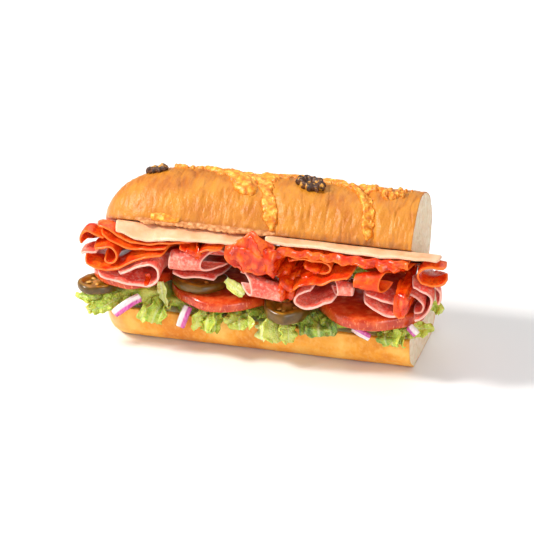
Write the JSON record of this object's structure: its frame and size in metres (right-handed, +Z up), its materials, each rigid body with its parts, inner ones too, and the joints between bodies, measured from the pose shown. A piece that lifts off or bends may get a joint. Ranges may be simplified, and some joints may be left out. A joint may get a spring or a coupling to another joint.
{
  "type": "submarine sandwich",
  "caption": "Half-length submarine sandwich: a slashed, cheese-topped roll opened at the front over folded pepperoni and salami, sliced cheese, tomato, jalapeno, onion and lettuce.",
  "frame": {"origin": "middle of the whole sandwich's bounding box, at the height of the flat base that stands on the table", "axes": "+X along the loaf, from its rounded tip to its cut end; -Y is the open front that shows the filling; +Z is up"},
  "size_m": [0.1816, 0.0776, 0.086],
  "materials": {
    "crust": "golden baked crust, dry",
    "lower_bread": "golden baked crust with a pale crumb, dry",
    "baked_cheese": "browned cheese, rough",
    "sliced_cheese": "pale sliced cheese, satin",
    "pepperoni": "orange-red cured sausage, oily",
    "salami": "pink marbled cured sausage, moist",
    "tomato": "ripe tomato, wet",
    "pickled_pepper": "olive pickled pepper, wet",
    "toasted_pepper": "browned baked pepper, dry",
    "onion": "red onion, moist",
    "lettuce": "shredded lettuce, crisp"
  },
  "bodies": {
    "root": {"baked_cheese": "baked_cheese", "baked_cheese_rim": "baked_cheese", "bread_bottom": "lower_bread", "bread_top": "crust", "jalapeno_left": "pickled_pepper", "jalapeno_middle": "pickled_pepper", "jalapeno_right": "pickled_pepper", "lettuce": "lettuce", "lettuce_rib": "lettuce", "onion_end": "onion", "onion_left": "onion", "onion_middle": "onion", "onion_right": "onion", "pepperoni_back_left": "pepperoni", "pepperoni_back_middle": "pepperoni", "pepperoni_back_right": "pepperoni", "pepperoni_left_bulge": "pepperoni", "pepperoni_left_low": "pepperoni", "pepperoni_left_roll": "pepperoni", "pepperoni_left_second": "pepperoni", "pepperoni_left_top": "pepperoni", "pepperoni_middle_flat": "pepperoni", "pepperoni_middle_left": "pepperoni", "pepperoni_middle_loop": "pepperoni", "pepperoni_middle_sheet": "pepperoni", "pepperoni_peak": "pepperoni", "pepperoni_right_cone": "pepperoni", "pepperoni_right_end": "pepperoni", "pepperoni_right_flap": "pepperoni", "pepperoni_right_second": "pepperoni", "pepperoni_right_top": "pepperoni", "provolone_left": "sliced_cheese", "provolone_right": "sliced_cheese", "salami_back_left": "salami", "salami_back_right": "salami", "salami_left": "salami", "salami_left_tip": "salami", "salami_middle_cone": "salami", "salami_middle_curl": "salami", "salami_middle_flat": "salami", "salami_middle_low": "salami", "salami_middle_roll": "salami", "salami_right": "salami", "salami_right_end": "salami", "salami_right_inner": "salami", "salami_right_tip": "salami", "toasted_jalapeno_crown": "toasted_pepper", "toasted_jalapeno_tip": "toasted_pepper", "tomato_left": "tomato", "tomato_middle": "tomato", "tomato_right": "tomato"}
  },
  "joints": []
}
